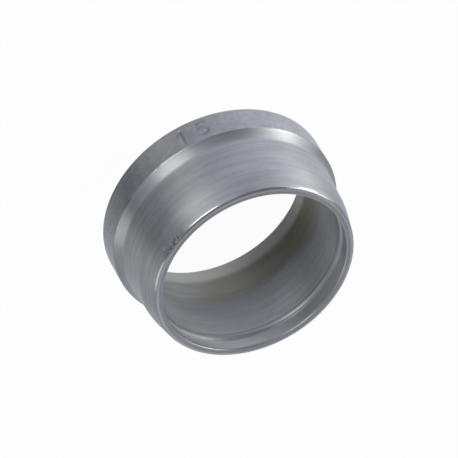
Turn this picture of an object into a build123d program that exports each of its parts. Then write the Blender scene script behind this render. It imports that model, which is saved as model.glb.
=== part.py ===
from build123d import *
import os
from math import acos, cos, degrees, radians, sin, tan

# Cutting ring of a flareless tube fitting, turned in one piece.
# It stands on its back face: the origin is the middle of that face, and +Z runs along the bore
# to the cutting end. All lengths are in millimetres and all angles in degrees.

# Tube and bore
tube_diameter = 15.0
edge_clearance = 0.15        # from the tube to each cutting edge, on the radius
ring_length = 10.0

# Rear end, which seats in the cone of the nut
back_land = 0.20             # width of the flat back face
rear_cone_angle = 45.0       # from the axis
rear_corner_radius = 0.12

# Collar, the widest part of the ring
collar_wall = 1.75           # from the bore to the outside of the collar
collar_band = 2.40           # length of the cylindrical band
collar_corner_radius = 0.10

# Hollow shoulder from the collar down to the body
shoulder_drop = 0.51
shoulder_radius = 2.0

# Body and nose, which slide into the cone of the fitting
body_taper = 3.4             # from the axis
nose_length = 2.05
nose_angle = 12.0            # from the axis, half of the fitting's 24 degree cone
nose_blend_radius = 6.0
front_edge_radius = 0.25

# Cutting edges and the recess between them
mouth_edge_radius = 0.05     # on the first edge, at the mouth
first_edge_land = 0.20       # length of straight bore behind the first edge
second_edge_setback = 1.65   # from the front face to the second edge
recess_depth = 0.22          # height of the step at the second edge
recess_root_radius = 0.08

# Bore behind the second edge
rear_relief_depth = 0.05     # the rear of the bore is this much wider, on the radius
rear_relief_length = 4.20    # from the back face
lead_in_depth = 0.15         # flare at the rear mouth, on the radius
lead_in_length = 1.45


def shoulder_arc(corner, foot_radius):
    """Hollow arc that starts at the collar's front corner and ends tangent to the tapered body.

    The body's outward normal is tilted forward by the taper, and the centre of the arc lies on it,
    one radius above the foot. The tilt at the corner follows from the drop between the two.
    """
    centre_radius = foot_radius + shoulder_radius * cos(radians(body_taper))
    corner_tilt = degrees(acos((centre_radius - corner[0]) / shoulder_radius))
    centre_height = corner[1] + shoulder_radius * sin(radians(corner_tilt))
    return CenterArc(
        (centre_radius, centre_height),
        shoulder_radius,
        180.0 + corner_tilt,
        body_taper - corner_tilt,
    )


def rounded(section, corner, radius):
    """The section with its vertex nearest to the corner rounded."""
    return fillet(section.vertices().sort_by_distance(corner)[0], radius)


def outer_side():
    """Edges and named corners of the outside, from the inner edge of the back face to the front."""
    edge_radius = tube_diameter / 2 + edge_clearance
    back_inner = edge_radius + rear_relief_depth + lead_in_depth
    back_outer = back_inner + back_land
    collar_radius = edge_radius + collar_wall
    cone_height = (collar_radius - back_outer) / tan(radians(rear_cone_angle))

    rear_corner = (collar_radius, cone_height)
    collar_corner = (collar_radius, cone_height + collar_band)
    shoulder = shoulder_arc(collar_corner, collar_radius - shoulder_drop)
    foot = (shoulder @ 1).X, (shoulder @ 1).Y

    nose_height = ring_length - nose_length
    nose_radius = foot[0] - (nose_height - foot[1]) * tan(radians(body_taper))
    front_radius = nose_radius - nose_length * tan(radians(nose_angle))
    nose_corner = (nose_radius, nose_height)
    front_corner = (front_radius, ring_length)

    rear = Polyline((back_inner, 0), (back_outer, 0), rear_corner, collar_corner)
    front = Polyline(foot, nose_corner, front_corner)
    corners = {
        "rear": rear_corner,
        "collar": collar_corner,
        "nose": nose_corner,
        "front": front_corner,
    }
    return [rear, shoulder, front], corners


def inner_side(front_corner):
    """Edges and named corners of the inside, from the front face back to the back face."""
    edge_radius = tube_diameter / 2 + edge_clearance
    relief_radius = edge_radius + rear_relief_depth
    root_radius = edge_radius + recess_depth
    second_edge_height = ring_length - second_edge_setback

    mouth = (edge_radius, ring_length)
    recess_root = (root_radius, second_edge_height)
    side = Polyline(
        front_corner,
        mouth,
        (edge_radius, ring_length - first_edge_land),
        recess_root,
        (edge_radius, second_edge_height),
        (edge_radius, rear_relief_length + rear_relief_depth),
        (relief_radius, rear_relief_length),
        (relief_radius, lead_in_length),
        (relief_radius + lead_in_depth, 0),
    )
    return side, {"mouth": mouth, "root": recess_root}


def cutting_ring():
    """The turned ring: one section, with its corners rounded, revolved about the bore's axis."""
    outside, outer_corners = outer_side()
    inside, inner_corners = inner_side(outer_corners["front"])
    front_wall = outer_corners["front"][0] - inner_corners["mouth"][0]

    section = make_face(outside + [inside])
    section = rounded(section, outer_corners["rear"], rear_corner_radius)
    section = rounded(section, outer_corners["collar"], collar_corner_radius)
    section = rounded(section, outer_corners["nose"], nose_blend_radius)
    section = rounded(section, outer_corners["front"], min(front_edge_radius, front_wall / 2))
    section = rounded(section, inner_corners["mouth"], min(mouth_edge_radius, front_wall / 4))
    section = rounded(section, inner_corners["root"], min(recess_root_radius, recess_depth / 2))
    return revolve(Plane.XZ * section, Axis.Z)


ring = cutting_ring()
ring.label = "cutting_ring"
os.makedirs("parts", exist_ok=True)
export_step(ring, "parts/cutting_ring.step")
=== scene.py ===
# %% [markdown]
# # A cutting ring for a tube fitting
#
# The object is one small steel ring, 18.8 mm across and 10 mm long, turned on a lathe and plated
# with zinc. It slides over a 15 mm tube. A nut presses on the cone at its back, and its front is
# pushed into the 24 degree cone of a fitting, where the two sharp edges inside bite into the tube.
#
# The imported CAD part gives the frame: the origin is the middle of the back face and +Z runs along
# the bore. Everything below is in that frame. Lengths are worked out in millimetres, and `MM`
# makes them metres where they reach Blender.

import bpy
import numpy as np
from mathutils import Matrix, Vector


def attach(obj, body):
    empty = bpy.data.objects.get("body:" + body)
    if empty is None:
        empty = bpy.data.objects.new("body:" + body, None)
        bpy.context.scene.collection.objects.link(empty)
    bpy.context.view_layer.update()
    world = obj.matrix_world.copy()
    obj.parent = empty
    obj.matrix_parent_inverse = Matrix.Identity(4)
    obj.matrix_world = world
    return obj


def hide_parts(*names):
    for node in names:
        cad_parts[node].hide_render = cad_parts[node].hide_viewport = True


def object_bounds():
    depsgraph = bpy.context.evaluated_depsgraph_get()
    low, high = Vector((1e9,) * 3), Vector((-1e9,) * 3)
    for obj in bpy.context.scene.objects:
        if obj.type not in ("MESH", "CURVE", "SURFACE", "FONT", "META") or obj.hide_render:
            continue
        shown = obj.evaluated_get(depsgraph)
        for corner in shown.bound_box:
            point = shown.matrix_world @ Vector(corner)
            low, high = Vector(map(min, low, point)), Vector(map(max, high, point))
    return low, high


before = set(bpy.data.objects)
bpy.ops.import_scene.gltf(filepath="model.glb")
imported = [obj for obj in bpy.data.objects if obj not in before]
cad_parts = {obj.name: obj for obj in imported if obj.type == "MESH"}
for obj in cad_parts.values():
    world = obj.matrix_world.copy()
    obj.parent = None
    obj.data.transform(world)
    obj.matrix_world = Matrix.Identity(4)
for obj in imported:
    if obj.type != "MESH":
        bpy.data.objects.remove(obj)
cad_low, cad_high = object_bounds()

MM = 0.001
print("CAD box in mm:", [round(v / MM, 3) for v in (*cad_low, *cad_high)])

# %% [markdown]
# ## The section
#
# A turned part is known by its section, the line that the tool followed. A Screw modifier could
# carry that line round the axis, but the surface below needs many points where the stamp and the
# tool marks are, and few elsewhere. So the CAD part's section is drawn here again, as points
# (radius, height) in millimetres.
#
# It starts at the inner edge of the back face, runs up the outside, over the front face and down
# the bore. Going that way round, the metal is on the left, so the outward normal is on the right.
#
# It is the CAD part's section but for three places, where a difference of a tenth of a millimetre
# decides how the ring shines: the front face's edges are rounder, the hollow shoulder is a little
# straighter beside the collar, and a steep narrow cone leads from the second cutting edge up to
# the step.

# %% Lengths of the section, in millimetres
collar_radius = cad_high.x / MM
ring_length = cad_high.z / MM
back_radius = 8.05                  # outer edge of the flat back face
band_start, band_end = 1.35, 3.75   # the collar's cylindrical band
body_radius = 8.89                  # where the shoulder meets the body
nose_start = 7.95
edge_radius = 7.65                  # to both cutting edges
land_length = 0.2                   # straight bore behind the first edge
recess_radius = 7.87                # the root between the two edges
second_edge = 8.35                  # middle of the second edge
relief_radius = 7.70                # the rear of the bore
relief_end, relief_step = 4.20, 0.05
lead_in_radius = 7.85               # the flare at the rear mouth
lead_in_end = 1.45
shoulder_start, body_taper, nose_taper = np.radians([38.0, 3.4, 12.0])   # slopes to the axis
print("collar radius", round(collar_radius, 3), "length", round(ring_length, 3))


# %% Points on lines and arcs
def line(start, end, steps, close=0.0):
    """Points at equal distances from start to end: start plus a growing share of the way.

    With `close`, one more point stands that many millimetres from each end. It keeps the smooth
    shading of a rounding from running out over the flat beside it.
    """
    share = np.linspace(0, 1, steps + 1)
    if close:
        near = close / np.linalg.norm(np.subtract(end, start))
        share = np.insert(share, [1, steps], [near, 1 - near])
    return np.array(start) * (1 - share[:, None]) + np.array(end) * share[:, None]


def arc(centre, radius, start, end, steps):
    """Points round a centre: radius times the cosine and sine of angles from start to end."""
    angle = np.linspace(start, end, steps + 1)
    return np.array(centre) + radius * np.stack([np.cos(angle), np.sin(angle)], 1)


def rounding(before, corner, after, radius, steps):
    """The arc that touches both sides of a corner.

    Its centre is on the corner's bisector, at the radius over the sine of half the corner's angle.
    """
    sides = [np.array(p, float) - corner for p in (before, after)]
    sides = [s / np.linalg.norm(s) for s in sides]
    half = np.arccos(np.clip(sides[0] @ sides[1], -1, 1)) / 2
    bisector = (sides[0] + sides[1]) / np.linalg.norm(sides[0] + sides[1])
    centre = np.array(corner) + bisector * radius / np.sin(half)
    ends = [np.array(corner) + s * radius / np.tan(half) - centre for s in sides]
    first, last = [np.arctan2(e[1], e[0]) for e in ends]
    turn = (last - first + np.pi) % (2 * np.pi) - np.pi
    return arc(centre, radius, first, first + turn, steps)


print("a rounded corner:", rounding((0, 1), (0, 0), (1, 0), radius=1, steps=2).round(3).tolist())

# %% [markdown]
# ### The hollow shoulder
#
# Between the collar and the body the tool left a hollow curve. It could be one arc, as in the CAD
# part. Here its slope follows a formula instead: steep beside the collar, and then easing into
# the body's taper, so that the band of light on it has one crisp side and one soft side.

# %% Points down the shoulder
collar_corner = (collar_radius, band_end)
shoulder_ease = 2.1                 # the higher, the longer the slope at the collar lasts
shoulder_share = np.linspace(0, 1, 17)
slope_left = 1 - shoulder_share**shoulder_ease
shoulder_tilt = body_taper + (shoulder_start - body_taper) * slope_left
middle_tilt = (shoulder_tilt[1:] + shoulder_tilt[:-1]) / 2
shoulder_step = (collar_radius - body_radius) / np.sin(middle_tilt).sum()
shoulder_moves = np.stack([-np.sin(middle_tilt), np.cos(middle_tilt)], 1) * shoulder_step
shoulder = np.array(collar_corner) + np.vstack([[(0, 0)], np.cumsum(shoulder_moves, 0)])
foot = shoulder[-1]
print("the shoulder meets the body at", foot.round(3))

# %% Corners of the outside
back_inner, back_outer = (lead_in_radius, 0.0), (back_radius, 0.0)
rear_corner = (collar_radius, band_start)
nose_radius = foot[0] - (nose_start - foot[1]) * np.tan(body_taper)
nose_corner = (nose_radius, nose_start)
front_corner = (nose_radius - (ring_length - nose_start) * np.tan(nose_taper), ring_length)
print("the nose ends at", np.round(front_corner, 3))

# %% Corners of the inside
mouth = (edge_radius, ring_length)
land_end = (edge_radius, ring_length - land_length)
recess_root = (recess_radius, second_edge + 0.16)
step_lip = (edge_radius + 0.06, second_edge + 0.15)      # the steep cone's upper end
second_corner = (edge_radius, second_edge - 0.05)        # and its lower end, which cuts
dark_line = (edge_radius, second_edge - 0.19)            # a painted dark line of shade runs round the bore here
below_line = (edge_radius, second_edge - 0.31)
relief_top = (edge_radius, relief_end + relief_step)
relief_bottom = (relief_radius, relief_end)
lead_in_top = (relief_radius, lead_in_end)
print("the second edge cuts at", np.round(second_corner, 3))

# %% The whole section, run by run
rear = rounding(back_outer, rear_corner, collar_corner, radius=0.12, steps=4)
collar_edge = rounding(rear_corner, collar_corner, shoulder[1], radius=0.10, steps=5)
blend = rounding(foot, nose_corner, front_corner, radius=6.0, steps=8)
front_edge = rounding(nose_corner, front_corner, mouth, radius=0.28, steps=9)
mouth_edge = rounding(front_corner, mouth, land_end, radius=0.12, steps=5)
root = rounding(land_end, recess_root, step_lip, radius=0.06, steps=2)
lip = rounding(recess_root, step_lip, second_corner, radius=0.04, steps=3)
second = rounding(step_lip, second_corner, dark_line, radius=0.12, steps=2)
runs = [
    ("back", line(back_inner, back_outer, steps=2)),
    ("rear_cone", line(back_outer, rear[0], steps=3, close=0.04)),
    ("edge", rear),
    ("collar", line(rear[-1], collar_edge[0], steps=26)),
    ("edge", collar_edge),
    ("shoulder", np.vstack([collar_edge[-1:], shoulder[1:]])),
    ("body", line(foot, blend[0], steps=22)),
    ("nose", blend),
    ("nose", line(blend[-1], front_edge[0], steps=12)),
    ("front_edge", front_edge),
    ("face", line(front_edge[-1], mouth_edge[0], steps=2, close=0.03)),
    ("mouth_edge", mouth_edge),
    ("recess", line(mouth_edge[-1], land_end, steps=1)),
    ("recess", line(land_end, root[0], steps=3, close=0.05)),
    ("step", root),
    ("step", line(root[-1], lip[0], steps=1)),
    ("second_edge", lip),
    ("second_edge", line(lip[-1], second[0], steps=2)),
    ("second_edge", second),
    ("bore", line(second[-1], dark_line, steps=1)),
    ("bore", line(dark_line, below_line, steps=1)),
    ("bore", line(below_line, relief_top, steps=5)),
    ("bore", line(relief_top, relief_bottom, steps=1)),
    ("bore", line(relief_bottom, lead_in_top, steps=3, close=0.05)),
    ("lead_in", line(lead_in_top, back_inner, steps=3, close=0.05)),
]
print(len(runs), "runs in", len({name for name, _ in runs}), "zones")

# %% One closed line
same_point = 1e-6                   # where one run ends and the next begins
points = np.vstack([run for _, run in runs])
zone = np.concatenate([[name] * len(run) for name, run in runs])
fresh = np.linalg.norm(points - np.roll(points, 1, 0), axis=1) > same_point
section, zone = points[fresh], zone[fresh]
print(len(section), "points on the section")

# %% Distances along the section, and its normals
to_next = np.roll(section, -1, 0) - section
run_length = np.concatenate([[0], np.cumsum(np.linalg.norm(to_next, axis=1))[:-1]])
tangent = np.roll(section, -1, 0) - np.roll(section, 1, 0)
tangent /= np.linalg.norm(tangent, axis=1)[:, None]
normal = np.stack([tangent[:, 1], -tangent[:, 0]], 1)
radius, height = section[:, :1], section[:, 1:]
print("the section is", round(run_length[-1], 2), "mm long")

# %% [markdown]
# ## The turned surface
#
# The ring is the section carried round the axis: a grid with one row for each point of the section
# and one column for each angle. Spin or Screw would make the plain shape, but a grid worked out as
# arrays can also carry what the real ring has in its metal: the shallow waves that the tool left,
# the stamped size, and the small dents of handling. Each of those is a height along the normal.
#
# The columns stand closer together where the stamps and the dents are. How close is a density
# round the ring. Its running sum says which share of the columns lies before each angle, and
# reading that sum backwards gives the angle of each column.

# %% Angles of the columns
stamp_angles = np.radians([262.0, 22.0, 142.0])
dent_angle = np.radians(301.5)
column_count = 648
fine = np.linspace(0, 2 * np.pi, 20001)


def angle_gap(angle, centre):
    """The difference of two angles, brought to between minus and plus half a turn."""
    return (angle - centre + np.pi) % (2 * np.pi) - np.pi


def crowd(centre, extra, half_width, border=0.012):
    """More columns near an angle: extra / (1 + e to the (distance - half width) / border)."""
    return extra / (1 + np.exp((abs(angle_gap(fine, centre)) - half_width) / border))


crowding = 1.0 + sum(crowd(angle, extra=1.3, half_width=0.15) for angle in stamp_angles)
crowding += crowd(dent_angle, extra=1.5, half_width=0.11)
columns_before = np.concatenate([[0], np.cumsum((crowding[1:] + crowding[:-1]) / 2)])
column_share = np.arange(column_count) / column_count
azimuth = np.interp(column_share, columns_before / columns_before[-1], fine)
print(column_count, "columns,", round(np.degrees(np.diff(azimuth)).min(), 2), "degrees at least")

# %% [markdown]
# ### Tool marks
#
# A lathe tool leaves waves that run round the part. Even the highest stand only a hundredth of a
# millimetre up, and still they show, because metal mirrors light and dark, and a tilt of one
# degree moves a reflection by two. They could be bump in the material, but as real height they
# are in the mesh too, and bend the highlights from every side. A few sine waves of different
# lengths along the section are added up, and each fades in and out slowly round the ring.


# %% Height of the tool marks
def tool_marks(along, around, waves, seed):
    """Sum of sine waves along the section, each fading in and out round the axis.

    One wave is depth * sin(2 pi along / length + phase) * (1 + half a cosine of a few turns).
    """
    draw = np.random.default_rng(seed)
    total = 0
    for length, depth in waves:
        phase, fade = draw.uniform(0, 2 * np.pi, 2)
        turns = draw.integers(1, 4)
        strength = 1 + 0.5 * np.cos(turns * around + fade)
        total = total + depth * np.sin(2 * np.pi * along / length + phase) * strength
    return total


def zone_weight(*names):
    """One where the section runs through these zones, zero elsewhere, smoothed over its points."""
    inside = np.isin(zone, names).astype(float)
    for _ in range(2):
        inside = np.minimum(inside, (np.roll(inside, 1) + inside + np.roll(inside, -1)) / 3)
    return inside[:, None]


outer_waves = [(1.9, 0.0042), (0.83, 0.0020), (0.47, 0.0009)]      # length and depth, in mm
heights = tool_marks(run_length[:, None], azimuth, outer_waves, seed=5)
heights = heights * zone_weight("shoulder", "body", "nose")
print("tool marks reach", round(abs(heights).max() * 1000, 1), "thousandths of a millimetre")

# %% [markdown]
# ### The stamped size
#
# Such rings carry a stamp on the collar. This one is bare apart from the tube's size, 15, three
# times round the ring. A text object and a Boolean could cut it, but they leave long thin faces on
# a curved wall. Here a digit is drawn as strokes, and the depth depends on the distance to the
# nearest stroke: full depth within half the stroke's width, then a sloping wall. The metal pushed
# aside stands up a little beside the stroke.


# %% Strokes of the digits, in millimetres
def curve(centre, radius, start, end):
    """Points on a circular stroke, with its angles in degrees."""
    return arc(centre, radius, *np.radians([start, end]), steps=12)


one = [[(0.20, 1.06), (0.52, 1.38), (0.52, 0.0)]]
five = [[(0.86, 1.38), (0.22, 1.38), (0.15, 0.74)], curve((0.44, 0.46), 0.44, 132, -145)]
digit_width, digit_height, digit_pitch = 1.0, 1.38, 1.72
stroke_width, wall_width = 0.16, 0.10
stamp_depth, rim_height, rim_width = 0.055, 0.008, 0.06


def stroke_distance(x, y, strokes):
    """Distance to the nearest stroke: to the nearest point of each of its straight pieces."""
    nearest = np.full(np.broadcast(x, y).shape, np.inf)
    for stroke in strokes:
        for (ax, ay), (bx, by) in zip(stroke[:-1], stroke[1:]):
            dx, dy = bx - ax, by - ay
            share = np.clip(((x - ax) * dx + (y - ay) * dy) / (dx * dx + dy * dy), 0, 1)
            nearest = np.minimum(nearest, np.hypot(x - ax - share * dx, y - ay - share * dy))
    return nearest


print("digits", digit_height, "mm high, with strokes", stroke_width, "mm wide")


# %% Height of the stamps
def smooth(value):
    """The smooth step 3 t^2 - 2 t^3 of a value held between 0 and 1."""
    held = np.clip(value, 0, 1)
    return held * held * (3 - 2 * held)


band_middle = (band_start + band_end) / 2
stamp_gap = np.full((len(section), column_count), np.inf)
for middle in stamp_angles:
    for digit, place in ((one, -0.5), (five, 0.5)):
        x = -angle_gap(azimuth, middle) * collar_radius - place * digit_pitch + digit_width / 2
        y = band_middle - height + digit_height / 2
        stamp_gap = np.minimum(stamp_gap, stroke_distance(x, y, digit))
wall_top = stroke_width / 2 + wall_width       # its distance from the stroke's middle line
stamp = smooth((wall_top - stamp_gap) / wall_width) * zone_weight("collar")
rim = np.exp(-(((stamp_gap - wall_top) / rim_width) ** 2)) * zone_weight("collar")
heights = heights - stamp_depth * stamp + rim_height * rim * (1 - stamp)
print("stamped share of the collar", round(float(stamp[zone == "collar"].mean()), 3))

# %% [markdown]
# ### Dents of handling
#
# Rings are shipped loose and knock against each other, so the thin front edge has a row of small
# dents on one side, and the collar's front corner has one raised burr. They could be sculpted by
# hand, but a formula gives the same dents each time. A dent is a smooth bell: its depth times e to
# the minus distance squared over size squared. The colour is painted darker in the dents and in
# the stamp, the deeper the darker: painted shade. `hollow` keeps where, for the finish.


# %% Height of the dents and the burr
def bell(azimuth_degrees, at_height, at_zone, size, depth):
    """Depth * exp(-(distance / size)^2), with the distance measured on the ring's surface.

    The bell stands on the section's point at that height, in one of the zones named.
    """
    elsewhere = 50 * ~np.isin(zone, at_zone)   # far more than any height, in other zones
    near = np.argmin(abs(section[:, 1] - at_height) + elsewhere)
    across = angle_gap(azimuth, np.radians(azimuth_degrees)) * section[near, 0]
    along = run_length[:, None] - run_length[near]
    return depth * np.exp(-(across**2 + along**2) / size**2)


dents = [                           # azimuth in degrees, then height, size and depth in mm
    (294.0, 9.78, 0.22, -0.050),
    (296.8, 9.72, 0.19, -0.070),
    (299.0, 9.58, 0.14, -0.060),
    (301.0, 9.68, 0.18, -0.085),
    (303.8, 9.64, 0.17, -0.075),
    (305.8, 9.52, 0.14, -0.060),
    (308.0, 9.46, 0.17, -0.070),
]
dent_heights = sum(
    bell(angle, at_height, ("front_edge", "nose"), size, depth)
    for angle, at_height, size, depth in dents
)
burr = bell(283.2, 3.74, ("edge",), size=0.09, depth=0.030)
heights = heights + dent_heights + burr
# Painted shade: the colour goes darker in the stamp and in the dents, the deeper the darker.
stamp_shade, dent_shade, full_shade_depth = 0.4, 0.8, 0.07
hollow = stamp_shade * stamp + dent_shade * smooth(-dent_heights / full_shade_depth)
print("deepest dent", round(heights.min(), 3), "mm")


# %% From the grid to a mesh
def turned_mesh(name, heights):
    """A closed surface of revolution.

    A point is (r cos a, r sin a, z), where r and z are the section's, moved by the height along
    the section's normal. Row and column numbers both wrap round, so the mesh has no border.
    """
    r = radius + heights * normal[:, :1]
    z = height + heights * normal[:, 1:]
    xyz = np.stack([r * np.cos(azimuth), r * np.sin(azimuth), z], -1) * MM
    rows, columns = heights.shape
    row, column = np.meshgrid(np.arange(rows), np.arange(columns), indexing="ij")
    here, above = row * columns, (row + 1) % rows * columns
    beside = (column + 1) % columns
    corners = np.stack([here + column, here + beside, above + beside, above + column], -1)
    mesh = bpy.data.meshes.new(name)
    mesh.vertices.add(rows * columns)
    mesh.vertices.foreach_set("co", xyz.reshape(-1).astype(np.float32))
    mesh.loops.add(corners.size)
    mesh.loops.foreach_set("vertex_index", corners.reshape(-1).astype(np.int32))
    mesh.polygons.add(rows * columns)
    mesh.polygons.foreach_set("loop_start", np.arange(0, corners.size, 4, dtype=np.int32))
    mesh.update(calc_edges=True)
    mesh.validate()
    return mesh


ring_mesh = turned_mesh("turned_ring", heights)
ring_mesh.shade_smooth()
ring_mesh.set_sharp_from_angle(angle=np.radians(38))
ring = bpy.data.objects.new("turned_ring", ring_mesh)
bpy.context.scene.collection.objects.link(ring)
print("turned_ring:", len(ring_mesh.vertices), "points,", 2 * len(ring_mesh.polygons), "triangles")

# %% [markdown]
# ### What the finish needs to know
#
# The finish differs from place to place. It could be painted on a picture, but then it would have
# a fixed resolution, so the mesh carries a few values at its points instead, and the material
# works the finish out from them:
#
# - `turning`: a place whose first two numbers go once round a circle and whose third is the
#   distance along the section. A noise read there runs round the ring without a seam.
# - `shade` and `dullness`: how light and how rough the metal is in each zone.
# - `lathe`: how strong the lathe's streaks are. On the collar and the back they are nearly lost
#   in a mottled grey.
# - `oil_and_shade`: the thin film of oil that has stayed in the bore, with painted shade in it.
#   It grows darker towards the rear, stands higher on one side than on the other, is painted
#   lighter on one side low down, and adds one faint painted dark line below the second edge.
# - `hollow`: in the stamped strokes and the dents, where the colour is painted darker as shade.


# %% Values at the mesh's points
def point_value(name, values):
    """Stores one number, or three, for every point of the ring's mesh."""
    values = np.asarray(values, np.float32)
    kind, field = ("FLOAT_VECTOR", "vector") if values.ndim == 3 else ("FLOAT", "value")
    ring_mesh.attributes.new(name, kind, "POINT").data.foreach_set(field, values.reshape(-1))


finishes = {                        # how light, and how rough
    "back": (0.85, 0.45),
    "rear_cone": (1.00, 0.45),
    "collar": (1.00, 0.45),
    "shoulder": (1.10, 0.43),
    "body": (1.05, 0.46),
    "nose": (1.05, 0.48),
    "face": (0.85, 0.40),
    "edge": (1.05, 0.30),
    "front_edge": (1.18, 0.24),
    "second_edge": (1.17, 0.38),
    "mouth_edge": (1.18, 0.34),
    "recess": (1.10, 0.44),
    "step": (1.15, 0.45),
    "bore": (1.08, 0.50),
    "lead_in": (1.00, 0.47),
}
zone_shade, zone_dullness = np.array([finishes[name] for name in zone]).T
zone_lathe = np.where(np.isin(zone, ("collar", "back")), 0.35, 1.0)
print("zones:", {name: int((zone == name).sum()) for name in finishes})


# %% The film of oil, darkened with painted shade
def round_bump(azimuth_degrees, half_width):
    """e to the minus squared angle from an azimuth, over the squared half width, in degrees."""
    gap = angle_gap(azimuth, np.radians(azimuth_degrees))
    return np.exp(-((gap / np.radians(half_width)) ** 2))


# The film's cover grows towards the rear. It carries the oil's tint and painted shade, darker the
# deeper in the bore.
oil_and_shade_heights = [0.0, 0.8, 1.7, 3.2, 4.2, 5.1, 5.8, 6.5, 7.5, 10.0]
oil_and_shade_amounts = [0.85, 0.85, 0.85, 0.76, 0.62, 0.40, 0.28, 0.14, 0.03, 0.00]
# Painted shade: the film's darkening stands higher on one side of the bore than on the other.
film_and_shade_rise = 1.4 * round_bump(62, 22) - 0.9 * round_bump(108, 16)   # higher here, lower there
film_and_shade_rise = film_and_shade_rise * smooth((height - 3.2) / 1.2)               # above 3.2 mm alone
# Painted light: less of the darkening film on one side of the bore, below 4.6 mm.
painted_lighter_patch = 0.45 * round_bump(37, 17) * smooth((4.6 - height) / 1.4)   # a lighter place below 4.6 mm
film_and_shade_cover = np.interp(height - film_and_shade_rise, oil_and_shade_heights, oil_and_shade_amounts) * (1 - painted_lighter_patch)

# Painted shade: one faint dark line round the bore just below the second edge, stronger on one
# side.
line_heights = [below_line[1], dark_line[1], second_edge - 0.07]
line_strength = 1.0 + 0.5 * round_bump(65, 25)
painted_shade_line = np.interp(height, line_heights, [0, 0.5, 0]) * line_strength
# The oil's tint and all the painted shade of the bore, in one value.
oil_and_shade = np.maximum(film_and_shade_cover, painted_shade_line) * np.isin(zone, ("bore", "lead_in"))[:, None]
print("oil on the bore:", oil_and_shade[zone == "bore"].mean().round(2), "on average")

# %% All values onto the mesh
grid = np.ones_like(heights)
round_x, round_y = grid * np.cos(azimuth), grid * np.sin(azimuth)
turning = np.stack([round_x, round_y, grid * run_length[:, None]], -1)
point_value("turning", turning)
point_value("shade", grid * zone_shade[:, None])
point_value("dullness", grid * zone_dullness[:, None])
point_value("oil_and_shade", grid * oil_and_shade)
point_value("hollow", hollow)
point_value("lathe", grid * zone_lathe[:, None])
print("values at", grid.size, "points")

# %% [markdown]
# ### A flat map
#
# The ring's skin, cut along one line and unrolled: once round the axis is the map's width, and
# once round the section is its height. The bake of the finish needs such a map.

# %% The unrolled surface
section_around = run_length[-1] + np.linalg.norm(to_next[-1])
turn_share = np.append(azimuth / (2 * np.pi), 1.0)
run_share = np.append(run_length / section_around, 1.0)
row, column = np.meshgrid(np.arange(len(section)), np.arange(column_count), indexing="ij")
u, next_u = turn_share[column], turn_share[column + 1]
v, next_v = run_share[row], run_share[row + 1]
corner_places = np.stack([u, v, next_u, v, next_u, next_v, u, next_v], -1)
flat = ring_mesh.uv_layers.new(name="unrolled")
flat.data.foreach_set("uv", corner_places.reshape(-1).astype(np.float32))
print("flat map of", len(flat.data), "corners")

# %% [markdown]
# ## Zinc-plated steel
#
# Plated steel could be one even grey with one roughness, but then it looks cast. Its looks come
# from five things: a slightly blue grey, fine streaks that run round the ring, a lobe of gloss
# that is wider along the axis than round it (that is what a turned surface does to light), a
# collar that is mottled where the rest is streaked, and a thin film of oil in the bore. Shade is
# painted into the colour as well: deep in the bore, in one line below the second edge, and in the
# stamp and the dents. So one metallic shader reads noises for the streaks and the mottling, and
# the values that the mesh carries for the rest.


# %% Helpers for shader nodes
def new_material(name):
    """A node material without any node yet."""
    made = bpy.data.materials.new(name)
    made.use_nodes = True
    made.node_tree.nodes.clear()
    return made


def put(tree, kind, inputs=None, **settings):
    """Adds a node with its settings, and fills its inputs: a socket is linked, a number is set."""
    node = tree.nodes.new(kind)
    for key, value in settings.items():
        setattr(node, key, value)
    for key, value in (inputs or {}).items():
        if isinstance(value, bpy.types.NodeSocket):
            tree.links.new(value, node.inputs[key])
        else:
            node.inputs[key].default_value = value
    return node


def maths(tree, operation, a, b):
    """One arithmetic step between two values."""
    return put(tree, "ShaderNodeMath", {0: a, 1: b}, operation=operation).outputs[0]


print("helpers for", [helper.__name__ for helper in (new_material, put, maths)])

# %% Values and places that the metal reads
zinc = new_material("zinc_plated_steel")
metal_tree = zinc.node_tree
carried = {
    name: put(metal_tree, "ShaderNodeAttribute", attribute_name=name).outputs
    for name in ("turning", "shade", "dullness", "oil_and_shade", "hollow", "lathe")
}
spot = put(metal_tree, "ShaderNodeTexCoord").outputs["Object"]
print("the metal reads", list(carried))


# %% Steps of the metal's pattern
def noise(where, scale, detail):
    """Noise of that many cells to the unit of length, with finer layers as `detail` grows."""
    settings = {"Vector": where, "Scale": scale, "Detail": detail}
    return put(metal_tree, "ShaderNodeTexNoise", settings).outputs["Fac"]


def streaks(around, along, detail):
    """Noise on the `turning` values: `around` cells per radian or so, `along` per millimetre."""
    turning_place = {"Vector": carried["turning"]["Vector"], "Scale": (around, around, along)}
    stretched = put(metal_tree, "ShaderNodeMapping", turning_place).outputs[0]
    return noise(stretched, 1.0, detail)


def spread(value, low, high, new_low, new_high):
    """Maps low..high to new_low..new_high by the smooth step, and holds the ends."""
    limits = {0: value, 1: low, 2: high, 3: new_low, 4: new_high}
    node = put(metal_tree, "ShaderNodeMapRange", limits, interpolation_type="SMOOTHSTEP")
    return node.outputs[0]


def mixed(amount, a, b):
    """A colour between a and b."""
    return put(metal_tree, "ShaderNodeMix", {0: amount, 6: a, 7: b}, data_type="RGBA").outputs[2]


def times(a, b):
    """The product of two values."""
    return maths(metal_tree, "MULTIPLY", a, b)


def plus(a, b):
    """The sum of two values."""
    return maths(metal_tree, "ADD", a, b)


# %% Patterns of the metal
MOST = (0.35, 0.65)                 # nearly all values of a noise lie between these
fine_marks = streaks(2.2, 9.0, 3.0)
broad_marks = streaks(1.1, 2.2, 2.0)
marks = plus(times(streaks(2.4, 6.5, 2.0), 0.5), times(broad_marks, 0.5))
clouds = noise(spot, 420.0, 3.0)
mottle = noise(spot, 2400.0, 3.0)
grain = noise(spot, 5200.0, 2.0)
lathe = carried["lathe"]["Fac"]
print("nodes for the patterns:", len(metal_tree.nodes))

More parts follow.
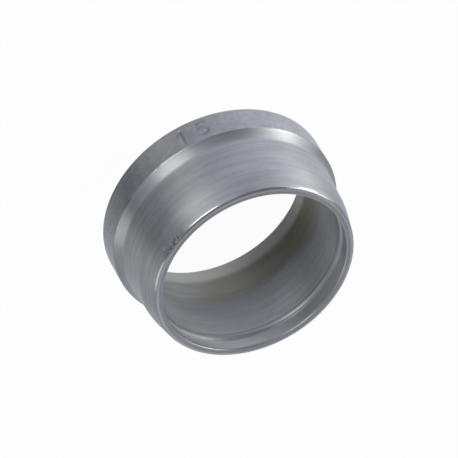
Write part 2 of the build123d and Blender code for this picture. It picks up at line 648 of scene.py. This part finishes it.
# %% Colour of the zinc
bright_zinc, deep_zinc = (0.81, 0.82, 0.85, 1), (0.71, 0.72, 0.75, 1)
mark_share = times(spread(marks, 0.38, 0.62, -0.5, 0.5), lathe)    # two noises spread less
colour = mixed(plus(mark_share, 0.5), deep_zinc, bright_zinc)
less_lathe = maths(metal_tree, "SUBTRACT", 1.2, lathe)
mottled = times(spread(mottle, *MOST, -0.07, 0.07), less_lathe)
cloudy = plus(spread(clouds, *MOST, 0.96, 1.04), mottled)
brightness = times(carried["shade"]["Fac"], cloudy)
shaded = {"Vector": colour, "Scale": brightness}
colour = put(metal_tree, "ShaderNodeVectorMath", shaded, operation="SCALE").outputs[0]
print("zinc between", deep_zinc[:3], "and", bright_zinc[:3])

# %% Colour of the oil with painted shade, and painted shade in the hollows
# The film's colours are far darker than the zinc: the oil's tint together with painted shade.
light_film_and_shade, dark_film_and_shade = (0.38, 0.36, 0.28, 1), (0.28, 0.265, 0.16, 1)
high_film_and_shade, dry_film = (0.33, 0.34, 0.37, 1), (0.75, 0.73, 0.66, 1)   # up the bore, on the flare
# Painted shade in the stamp and the dents: a dark blue grey.
hollow_shade_colour, hollow_shade_cover = (0.19, 0.20, 0.24, 1), 0.55
along_bore = put(metal_tree, "ShaderNodeSeparateXYZ", {"Vector": spot}).outputs["Z"]
film_and_shade_colour = mixed(spread(streaks(1.6, 0.9, 2.0), *MOST, 0, 1), light_film_and_shade, dark_film_and_shade)
film_and_shade_colour = mixed(spread(along_bore, 3.6 * MM, 4.8 * MM, 0, 1), film_and_shade_colour, high_film_and_shade)
film_and_shade_colour = mixed(spread(along_bore, 1.0 * MM, 1.9 * MM, 0, 1), dry_film, film_and_shade_colour)
colour = mixed(carried["oil_and_shade"]["Fac"], colour, film_and_shade_colour)
colour = mixed(times(carried["hollow"]["Fac"], hollow_shade_cover), colour, hollow_shade_colour)
print("film from", dry_film[:3], "to", high_film_and_shade[:3])

# %% Roughness and relief
dullness = carried["dullness"]["Fac"]
pattern = plus(times(fine_marks, 0.6), times(clouds, 0.4))
rough = plus(dullness, spread(pattern, *MOST, -0.03, 0.03))
grain_height = times(grain, times(dullness, 0.8))
bumps = {"Height": plus(fine_marks, grain_height), "Strength": 1.0, "Distance": 0.004 * MM}
relief = put(metal_tree, "ShaderNodeBump", bumps).outputs[0]
print("relief of", bumps["Distance"] / MM, "mm")

# %% The metal shader
round_the_ring = put(metal_tree, "ShaderNodeTangent", direction_type="RADIAL", axis="Z")
metal = put(metal_tree, "ShaderNodeBsdfPrincipled", {
    "Base Color": colour,
    "Metallic": 1.0,
    "Roughness": rough,
    "Anisotropic": 0.65,
    "Anisotropic Rotation": 0.25,
    "Normal": relief,
    "Tangent": round_the_ring.outputs[0],
})
put(metal_tree, "ShaderNodeOutputMaterial", {"Surface": metal.outputs[0]})
ring_mesh.materials.append(zinc)
print("nodes in the metal:", len(metal_tree.nodes))

# %% The ring takes the place of the CAD node
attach(ring, "root")
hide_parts("cutting_ring")
print(ring.name, "replaces cutting_ring")

# %% [markdown]
# ## Camera
#
# The photograph was taken from far away with a long lens, looking half down on the front of the
# ring, and the ring lies turned in the picture. An empty to look at could aim the camera, but
# three directions say all of it: the picture's right, its downward direction, and the line of
# sight, each in the ring's own frame.

# %% Directions of the picture
view_tilt, picture_roll = np.radians([45.4645, 59.1285])
cos_tilt, sin_tilt = np.cos(view_tilt), np.sin(view_tilt)
cos_roll, sin_roll = np.cos(picture_roll), np.sin(picture_roll)
right = np.array([-sin_roll, cos_tilt * cos_roll, sin_tilt * cos_roll])
down = np.array([cos_roll, cos_tilt * sin_roll, sin_tilt * sin_roll])
ahead = np.array([0, sin_tilt, -cos_tilt])
print("line of sight", ahead.round(3))

# %% The photograph's camera
picture_side = 458
origin_pixel = (208.763, 194.910)      # where the middle of the back face falls
pixels_per_collar = 118.841            # length of the collar's radius there
distance_in_collars = 100 / 3
camera_distance = distance_in_collars * collar_radius * MM
metres_per_pixel = collar_radius * MM / pixels_per_collar
off_centre = [(p - picture_side / 2) * metres_per_pixel for p in origin_pixel]
place_of_camera = -(off_centre[0] * right + off_centre[1] * down + camera_distance * ahead)

lens = bpy.data.cameras.new("photo_camera")
lens.sensor_width = 36.0
lens.lens = camera_distance / (metres_per_pixel * picture_side) * lens.sensor_width
lens.clip_start, lens.clip_end = 0.01, 100.0
camera = bpy.data.objects.new("photo_camera", lens)
axes = Matrix(np.array([right, -down, -ahead]).T.tolist()).to_4x4()
camera.matrix_world = Matrix.Translation(Vector(place_of_camera)) @ axes
bpy.context.scene.collection.objects.link(camera)
bpy.context.scene.camera = camera
print("lens", round(lens.lens, 1), "mm, camera at", np.round(place_of_camera, 4))

# %% [markdown]
# ## Ground and light
#
# The picture's ground is white, yet the ring doesn't mirror any white: steel has little colour of
# its own and shows what is round it, and there that was mostly grey. A white floor would light the
# ring from below. So the pale ground is seen by the camera alone, and the metal mirrors a grey
# studio instead: three wide soft glows in the room, and seven softboxes for the clear highlights.

# %% The pale ground
ground_side, ground_height = 4.0, -0.00001      # half a side and just below the ring, in metres
ground_corners = [
    (x * ground_side, y * ground_side, ground_height)
    for x, y in ((-1, -1), (1, -1), (1, 1), (-1, 1))
]
ground_mesh = bpy.data.meshes.new("pale_ground")
ground_mesh.from_pydata(ground_corners, [], [(0, 1, 2, 3)])
pale_ground = bpy.data.objects.new("pale_ground", ground_mesh)
bpy.context.scene.collection.objects.link(pale_ground)
for ray in ("diffuse", "glossy", "transmission", "shadow", "volume_scatter"):
    setattr(pale_ground, "visible_" + ray, False)

pale = new_material("pale_paper")
paper = put(pale.node_tree, "ShaderNodeBsdfPrincipled", {
    "Base Color": (0.12, 0.12, 0.12, 1),
    "Roughness": 1.0,
    "Specular IOR Level": 0.0,
    "Emission Color": (1, 1, 1, 1),
    "Emission Strength": 0.95,
})
put(pale.node_tree, "ShaderNodeOutputMaterial", {"Surface": paper.outputs[0]})
ground_mesh.materials.append(pale)
print("ground of", 2 * ground_side, "m")

# %% [markdown]
# ### Softboxes
#
# On a turned surface a lamp shows as a streak along the axis, as wide as the lamp looks from the
# ring. A sun or a point lamp would give a thin hard streak, so each highlight of the ring gets a
# rectangle of light of its own, and its width and height are given as angles.


# %% Seven softboxes
def direction(azimuth_degrees, elevation_degrees):
    """The unit vector towards an azimuth and an elevation."""
    a, e = np.radians([azimuth_degrees, elevation_degrees])
    return Vector((np.cos(e) * np.cos(a), np.cos(e) * np.sin(a), np.sin(e)))


def softbox(name, azimuth_degrees, elevation_degrees, wide, tall, radiance, tint, distance=0.25):
    """A rectangle of light that faces the ring, and looks so many degrees wide and tall from it.

    Its side is twice the distance times the tangent of half the angle. Its power is
    radiance * pi * area.
    """
    toward = direction(azimuth_degrees, elevation_degrees)
    lamp = bpy.data.lights.new(name, "AREA")
    lamp.shape = "RECTANGLE"
    lamp.size, lamp.size_y = 2 * distance * np.tan(np.radians([wide, tall]) / 2)
    lamp.energy = radiance * np.pi * lamp.size * lamp.size_y
    lamp.color = tint
    made = bpy.data.objects.new(name, lamp)
    facing = toward.to_track_quat("Z", "Y").to_matrix().to_4x4()
    ring_middle = Vector((0, 0, ring_length / 2 * MM))
    made.matrix_world = Matrix.Translation(ring_middle + toward * distance) @ facing
    bpy.context.scene.collection.objects.link(made)
    print(name, "power", round(lamp.energy, 3))


warm, cool, blue = (1.0, 0.98, 0.935), (0.96, 0.985, 1.05), (0.94, 0.98, 1.09)
softboxes = [                       # name, azimuth, elevation, wide, tall, radiance, tint
    ("softbox_left", 284, 9, 29, 30, 1.58, warm),
    ("softbox_left_wide", 287, -3, 80, 66, 0.23, blue),
    ("softbox_right", 181, 5, 16, 37, 1.25, warm),
    ("softbox_right_high", 175, 26, 36, 17, 1.65, warm),
    ("softbox_right_wide", 180, -9, 58, 36, 0.40, cool),
    ("softbox_back", 356, 5, 28, 50, 0.47, warm),
    ("softbox_front", 250, 24, 46, 44, 0.07, blue),
]
for box in softboxes:
    softbox(*box)

# %% [markdown]
# ### The grey room
#
# A picture of a studio could be the surroundings, but three soft glows are enough for brushed
# metal. Each is strongest towards one direction and fades away from it: its strength times
# ((1 + cosine of the angle) / 2) to a power. The camera itself sees plain white.

# %% Three glows all round
glows = [                           # azimuth, elevation, power, strength
    (96, -61, 13.6, 1.34),
    (80, 29, 1.7, 0.365),
    (220, -32, 11.7, 0.55),
]
studio = bpy.data.worlds.new("studio")
studio.use_nodes = True
room_tree = studio.node_tree
room_tree.nodes.clear()
looking = put(room_tree, "ShaderNodeTexCoord").outputs["Generated"]
glow = None
for glow_azimuth, glow_elevation, power, strength in glows:
    both = {0: looking, 1: direction(glow_azimuth, glow_elevation)}
    cosine = put(room_tree, "ShaderNodeVectorMath", both, operation="DOT_PRODUCT").outputs["Value"]
    half = maths(room_tree, "MULTIPLY", maths(room_tree, "ADD", cosine, 1.0), 0.5)
    lobe = maths(room_tree, "MULTIPLY", maths(room_tree, "POWER", half, power), strength)
    glow = lobe if glow is None else maths(room_tree, "ADD", glow, lobe)
print("nodes for the glows:", len(room_tree.nodes))

# %% The room that the metal mirrors, and the one that the camera sees
grey = {"Color": (0.95, 0.985, 1.055, 1), "Strength": glow}
grey_room = put(room_tree, "ShaderNodeBackground", grey).outputs[0]
white = {"Color": (1, 1, 1, 1), "Strength": 1.0}
white_room = put(room_tree, "ShaderNodeBackground", white).outputs[0]
seen = put(room_tree, "ShaderNodeLightPath").outputs["Is Camera Ray"]
room = put(room_tree, "ShaderNodeMixShader", {0: seen, 1: grey_room, 2: white_room}).outputs[0]
put(room_tree, "ShaderNodeOutputWorld", {"Surface": room})
bpy.context.scene.world = studio
bpy.context.scene.view_settings.view_transform = "Standard"
bpy.context.scene.view_settings.look = "None"
print("nodes in the room:", len(room_tree.nodes))
